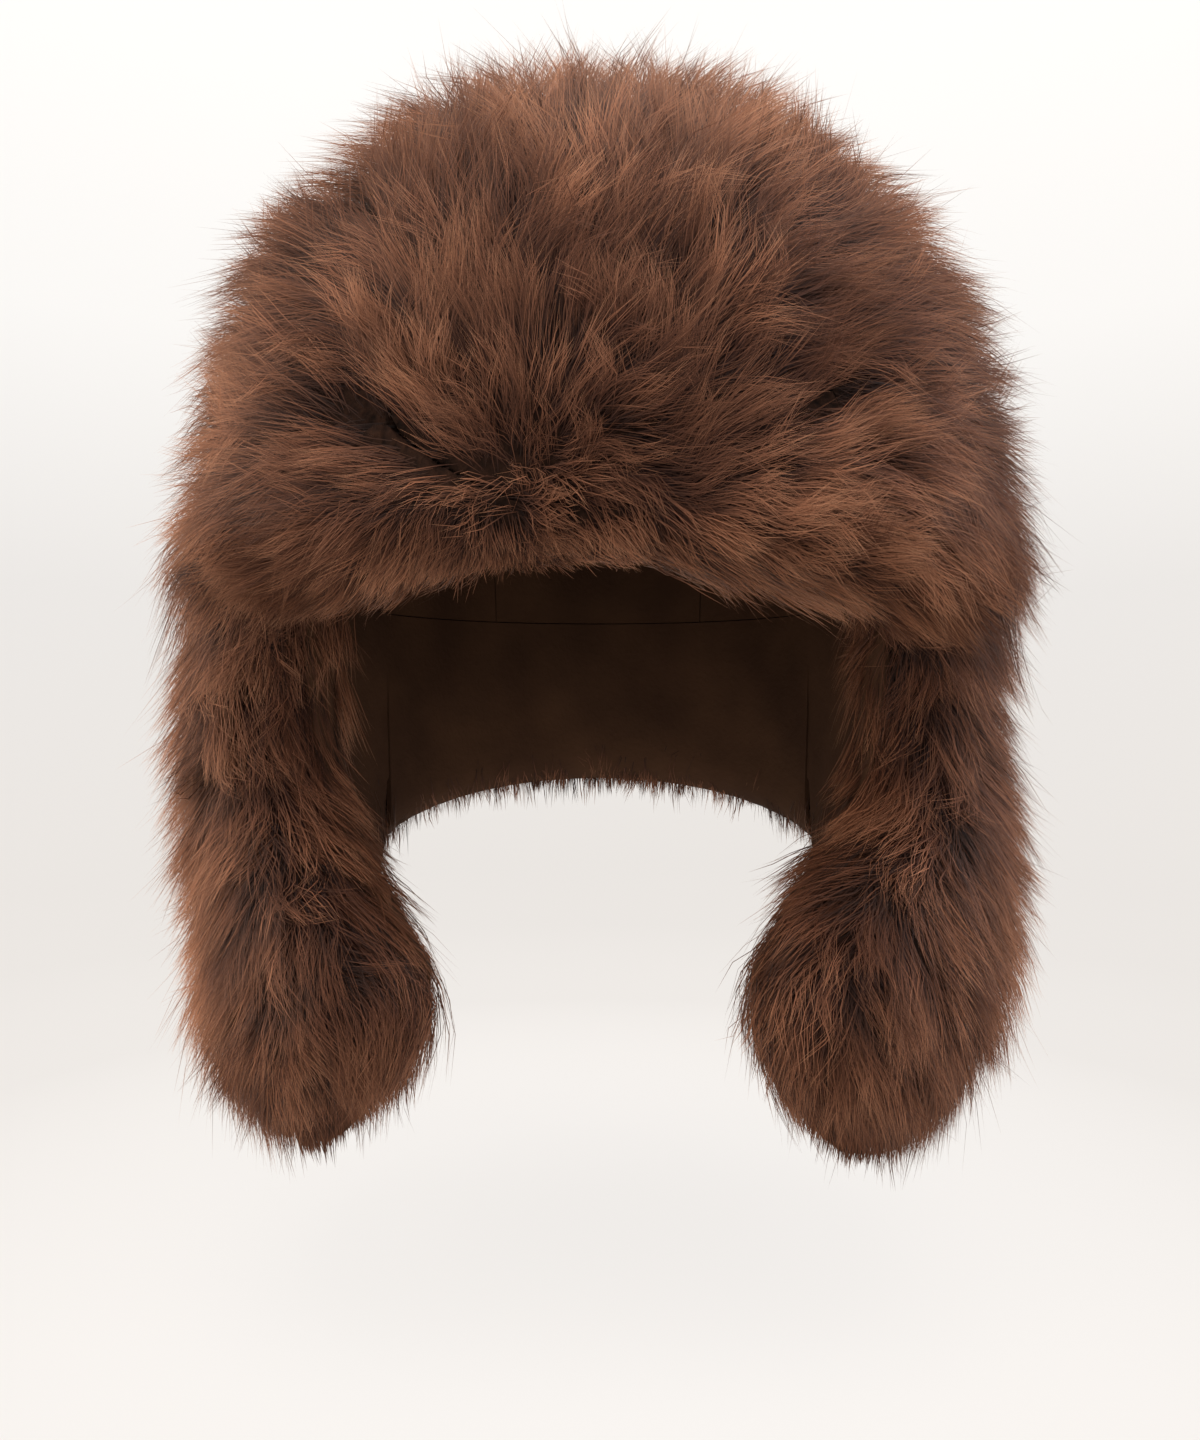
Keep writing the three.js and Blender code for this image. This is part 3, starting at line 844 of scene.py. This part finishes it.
def blade_tones(locks, lock, stray, tufts, rng):
    """How light each blade is: the comb's tone, changed at random for each tuft, lock and blade. A stray
    blade is made lighter as well, which is painted light on the hairs at the outline.
    """
    count, lock_count = len(lock), len(locks.tone)
    change = rng.normal(TONE.added, TONE.lock, lock_count)
    change -= TONE.dark * (rng.random(lock_count) < TONE.dark_share)
    change = change + tufts.normal(TONE.tuft) + TONE.waves * waves(locks.roots * 0.8, "tone")
    return (locks.tone + change)[lock] + rng.normal(0, TONE.blade, count) + np.where(stray > 0, TONE.stray, 0)


# A blade's tone and its length run across and along its map, this far clear of the map's border.
TONE_MARGIN = 0.02
LENGTH_MARGIN = 0.01
HALF_ON_MAP = 0.002


def hair_mesh(name, places, sides, tones, normals):
    """One joined mesh of tapered blades. Each has two corners at each of its points, and one at its tip."""
    count = places.shape[1]
    per = 2 * POINTS - 1
    vertices = np.empty((count, per, 3))
    directions = np.empty((count, per, 3))
    for k in range(POINTS - 1):
        vertices[:, 2 * k] = places[k] - sides[k]
        vertices[:, 2 * k + 1] = places[k] + sides[k]
        directions[:, 2 * k] = directions[:, 2 * k + 1] = normals[k]
    vertices[:, -1] = places[-1]
    directions[:, -1] = normals[-1]
    blade = []
    for k in range(POINTS - 2):
        blade += [[2 * k, 2 * k + 1, 2 * k + 3], [2 * k, 2 * k + 3, 2 * k + 2]]
    blade.append([2 * POINTS - 4, 2 * POINTS - 3, 2 * POINTS - 2])
    loops = ((np.arange(count) * per)[:, None, None] + np.array(blade)[None]).reshape(-1)
    mesh = bpy.data.meshes.new(name)
    mesh.vertices.add(count * per)
    mesh.vertices.foreach_set("co", vertices.astype(np.float32).ravel())
    mesh.loops.add(len(loops))
    mesh.loops.foreach_set("vertex_index", loops.astype(np.int32))
    mesh.polygons.add(len(loops) // 3)
    mesh.polygons.foreach_set("loop_start", np.arange(0, len(loops), 3, dtype=np.int32))
    mesh.polygons.foreach_set("use_smooth", np.ones(len(loops) // 3, bool))
    mesh.update(calc_edges=True)
    across = np.array([-1, 1] * (POINTS - 1) + [0]) * HALF_ON_MAP
    along = np.array([k // 2 / (POINTS - 1) for k in range(per)])
    uv = np.empty((count, per, 2))
    uv[:, :, 0] = np.clip(tones, TONE_MARGIN, 1 - TONE_MARGIN)[:, None] + across
    uv[:, :, 1] = along * (1 - 2 * LENGTH_MARGIN) + LENGTH_MARGIN
    uv_map = mesh.uv_layers.new(name="OFBake")
    uv_map.uv.foreach_set("vector", uv.reshape(-1, 2)[loops].astype(np.float32).ravel())
    mesh.normals_split_custom_set_from_vertices(unit(directions.reshape(-1, 3)).tolist())
    piece = bpy.data.objects.new(name, mesh)
    bpy.context.scene.collection.objects.link(piece)
    return piece


def fur_of(panel, blades, depth, wave, hang, seed):
    """The guard hairs of a panel: locks that draw together towards their tips, in tufts that do so too."""
    rng = np.random.default_rng(seed)
    roots, normals, area = scatter(panel, blades // PER_LOCK, rng)
    tufts = Tufts(roots, area, rng)
    around = np.clip(dot(normals, outwards(roots)), 0, 1)
    root_depth = (EDGE_DEPTH + (depth - EDGE_DEPTH) * around) * MM
    locks = grow_locks(panel, roots, root_depth, wave, hang, tufts, rng)
    lock = np.repeat(np.arange(len(roots)), PER_LOCK)
    places, faces, stray = blade_lines(panel, locks, lock, tufts, rng)
    sides, blade_normals = blade_sides(places, faces, stray, rng)
    tones = blade_tones(locks, lock, stray, tufts, rng)
    return hair_mesh(panel + "_fur", places, sides, tones, blade_normals)


# Undercoat and backing cloth

# How deep the undercoat lies under the skin, in mm, where it faces sideways and on a panel's inner face.
SIDE_DEPTH = 5.5
INNER_DEPTH = 4.0
# At a parting it lies less deep by this share, and its outer face is bumpy by this many mm.
PARTING_FILL = 0.35
COAT_BUMPS = 0.8


def undercoat_of(panel, depth):
    """The body under the guard hairs, near black with painted shade: the panel's form, pressed below the skin
    by the depth in mm.
    """
    piece = copy_of(panel, panel + "_undercoat")
    apply_modifier(piece, "REMESH", mode="VOXEL", voxel_size=VOXEL)
    places = vertices_of(piece.data)
    skin, away = on_skin(places)
    facing = dot(away, outwards(places))
    filled = 1 - PARTING_FILL * fade(combed(panel, places).lift, PARTING_LIFT, PARTING_RANGE)
    outer = SIDE_DEPTH + np.clip(facing, 0, 1) * (depth - SIDE_DEPTH) * filled
    deep = np.where(facing < -0.3, INNER_DEPTH, outer)
    deep += np.where(facing > 0.2, waves(places * 3.0, "undercoat") * COAT_BUMPS, 0)
    over = dot(places - skin, away)
    places = places - away * np.maximum(over + deep * MM, 0)[:, None]
    piece.data.vertices.foreach_set("co", places.astype(np.float32).ravel())
    smooth_faces(piece.data)
    return piece


# A face of the solid that looks further out than this isn't part of the inner face.
INNER_FACING = -0.35
CLOTH = 2 * MM
# The backing of a flap ends this high, a little above the flap's lower edge, so that the pile covers it.
BACKING_END = -167 * MM


def backing_of(panel):
    """The panel's knitted backing: the inner face of its solid, thickened outwards."""
    piece = copy_of(panel, panel + "_backing")
    bpy.ops.object.mode_set(mode="EDIT")
    bpy.ops.mesh.select_mode(type="FACE")
    bpy.ops.mesh.select_all(action="DESELECT")
    bpy.ops.object.mode_set(mode="OBJECT")
    for polygon in piece.data.polygons:
        middle = np.array(polygon.center)
        facing = float(np.dot(np.array(polygon.normal), outwards(middle[None])[0]))
        polygon.select = facing > INNER_FACING or middle[2] < BACKING_END
    bpy.ops.object.mode_set(mode="EDIT")
    bpy.ops.mesh.delete(type="FACE")
    bpy.ops.mesh.select_all(action="SELECT")
    bpy.ops.mesh.tris_convert_to_quads()
    bpy.ops.object.mode_set(mode="OBJECT")
    apply_modifier(piece, "SOLIDIFY", thickness=CLOTH, offset=-1)
    smooth_faces(piece.data)
    piece.data.set_sharp_from_angle(angle=math.radians(45))
    return piece


# The pieces

# Each panel's fur: its blades, so that all panels are about as dense, the depth of its pile in mm, how wavy
# it is, and how far in mm its tips hang past a free edge at least and at most.
FUR = {
    "crown_centre": [38400, 18, 1.0, 0, 0],
    "crown_side_left": [24800, 18, 1.0, 0, 0],
    "crown_side_right": [24800, 18, 1.0, 0, 0],
    "forehead_band": [16800, 13, 0.8, -1.5, 1.5],
    "ear_flap_left": [32000, 15, 0.6, 0.5, 10.5],
    "ear_flap_right": [32000, 15, 0.6, 0.5, 10.5],
    "neck_flap": [14400, 12, 0.6, 1.0, 7.0],
}
FIRST_SEED = 40
# The undercoat lies this many mm less deep than the roots.
UNDERCOAT_LESS = 3


def finish_piece(piece, panel, material):
    piece.data.materials.clear()
    piece.data.materials.append(material)
    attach(piece, "root")
    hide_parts(panel)


HAIR = guard_hair()
COAT = undercoat()
KNIT = knit_backing()

for number, panel in enumerate(PANELS):
    blades, depth, wave, *hang = FUR[panel]
    finish_piece(fur_of(panel, blades, depth, wave, hang, FIRST_SEED + number), panel, HAIR)
    finish_piece(undercoat_of(panel, depth - UNDERCOAT_LESS), panel, COAT)
    finish_piece(backing_of(panel), panel, KNIT)


# Camera

# The lens and the sensor in mm, the place in m, and the tilt up from straight down in degrees.
LENS = 29.0
SENSOR = 36.0
CAMERA_PLACE = (0.0, -0.398, -0.035)
CAMERA_TILT = 89.3
# The picture lies this far to the side, in pixels of the frame's height.
SHIFT_PIXELS = 2
FRAME_PIXELS = 1440


def set_camera():
    camera = bpy.data.objects.new("camera", bpy.data.cameras.new("camera"))
    bpy.context.scene.collection.objects.link(camera)
    camera.data.lens = LENS
    camera.data.sensor_width = SENSOR
    camera.location = CAMERA_PLACE
    camera.rotation_euler = (math.radians(CAMERA_TILT), 0, 0)
    camera.data.shift_x = SHIFT_PIXELS / FRAME_PIXELS
    camera.data.clip_start = 0.01
    bpy.context.scene.camera = camera


# Floor, world and lights

# The floor lies a little below the tips of the ear flaps.
FLOOR_Z = -0.216
# The bowl is flat out to one radius, curves up over the next stretch, and rises straight to its rim, which is
# given as its radius and its height over the floor. All are in m.
BOWL_FLAT = 0.9
BOWL_CURVE = 1.1
BOWL_RIM = (2.0, 3.0)
CURVE_STEPS = 24
# The bowl's glow from the floor up to GLOW_TOP, and between two distances from the hat. The lighter shows.
WALL_GLOW = [(0.0, "#d3d0cd"), (0.25, "#d5d3d1"), (0.6, "#e8e7e5"), (1.0, "#f0efed")]
FLOOR_GLOW = [(0.0, "#eae7e4"), (0.4, "#d8d5d2"), (1.0, "#d3d0cd")]
GLOW_TOP = 1.3
GLOW_NEAR = 0.24
GLOW_FAR = 0.6


def seamless_paper():
    """Matt seamless paper, pressed from pulp: pale and even. It glows, so that no edge of a shadow shows."""
    material, tree = new_material("seamless_paper")
    place = {"Vector": add_node(tree, "ShaderNodeTexCoord").outputs["Object"]}
    parts = add_node(tree, "ShaderNodeSeparateXYZ", links=place)
    height = add_node(tree, "ShaderNodeMapRange", {"From Min": FLOOR_Z, "From Max": GLOW_TOP},
                      {"Value": parts.outputs["Z"]})
    wall = add_node(tree, "ShaderNodeValToRGB", links={"Fac": height.outputs["Result"]}, stops=WALL_GLOW)
    reach = add_node(tree, "ShaderNodeVectorMath", {"operation": "LENGTH"}, place)
    near = add_node(tree, "ShaderNodeMapRange", {"From Min": GLOW_NEAR, "From Max": GLOW_FAR},
                    {"Value": reach.outputs["Value"]})
    floor = add_node(tree, "ShaderNodeValToRGB", links={"Fac": near.outputs["Result"]}, stops=FLOOR_GLOW)
    glow = add_node(tree, "ShaderNodeMix", {"data_type": "RGBA", "blend_type": "LIGHTEN", 0: 1.0},
                    {6: wall.outputs["Color"], 7: floor.outputs["Color"]})
    add_surface(tree, {"Base Color": hex_colour("#5c5a58"), "Roughness": 0.9, "Specular IOR Level": 0.0,
                       "Emission Strength": 0.97}, {"Emission Color": glow.outputs[2]})
    return material


def set_floor():
    """A pale seamless bowl under and around the hat, extruded ring by ring from its rim to its middle."""
    profile = [BOWL_RIM]
    for t in np.linspace(1, 0, CURVE_STEPS):
        angle = t * math.pi / 2
        profile.append((BOWL_FLAT + BOWL_CURVE * math.sin(angle), BOWL_CURVE * (1 - math.cos(angle))))
    deselect_all()
    bpy.ops.mesh.primitive_circle_add(vertices=64, radius=profile[0][0], fill_type="NOTHING",
                                      location=(0, 0, 0))
    floor = bpy.context.object
    floor.name = "floor"
    bpy.ops.object.mode_set(mode="EDIT")
    bpy.ops.mesh.select_mode(type="EDGE")
    bpy.ops.mesh.select_all(action="SELECT")
    bpy.ops.transform.translate(value=(0, 0, FLOOR_Z + profile[0][1]))
    for (r0, z0), (r1, z1) in zip(profile, profile[1:]):
        bpy.ops.mesh.extrude_region_move(TRANSFORM_OT_translate={"value": (0, 0, z1 - z0)})
        bpy.ops.transform.resize(value=(r1 / r0, r1 / r0, 1), center_override=(0, 0, 0))
    bpy.ops.mesh.edge_face_add()
    bpy.ops.object.mode_set(mode="OBJECT")
    smooth_faces(floor.data)
    floor.data.materials.append(seamless_paper())
    for flag in ("visible_diffuse", "visible_glossy", "visible_transmission", "visible_shadow"):
        setattr(floor, flag, False)


def set_world():
    world = bpy.data.worlds.new("studio")
    bpy.context.scene.world = world
    world.use_nodes = True
    background = world.node_tree.nodes["Background"]
    background.inputs["Color"].default_value = hex_colour("#f4f1ee")
    background.inputs["Strength"].default_value = 0.95


# Each soft box: its name, its place, what it points at and its size, in m, its watts and its colour.
LIGHTS = [
    ["top_box", (0.0, -0.55, 2.42), (0, 0, 0.05), (2.86, 2.2), 65, "#fffaf4"],
    ["front_box", (0.0, -3.3, 0.22), (0, 0, -0.02), (2.64, 1.76), 29, "#ffffff"],
    ["left_box", (-2.42, -0.77, 0.77), (0, 0, 0), (1.98, 2.64), 58, "#fff6ec"],
    ["back_box", (0.0, 3.1, 1.55), (0, 0, 0), (2.64, 1.76), 24, "#fffaf4"],
    ["right_box", (2.42, -0.55, 0.88), (0, 0, 0), (1.98, 2.64), 43.5, "#f1f4ff"],
]


def add_light(name, place, target, size, watts, colour):
    light = bpy.data.objects.new(name, bpy.data.lights.new(name, "AREA"))
    light.data.shape = "RECTANGLE"
    light.data.size, light.data.size_y = size
    light.data.energy = watts
    light.data.color = hex_colour(colour)[:3]
    light.location = place
    light.visible_camera = False
    light.rotation_euler = (Vector(target) - Vector(place)).to_track_quat("-Z", "Y").to_euler()
    bpy.context.scene.collection.objects.link(light)


set_camera()
set_floor()
set_world()
for row in LIGHTS:
    add_light(*row)
bpy.context.scene.view_settings.view_transform = "Standard"
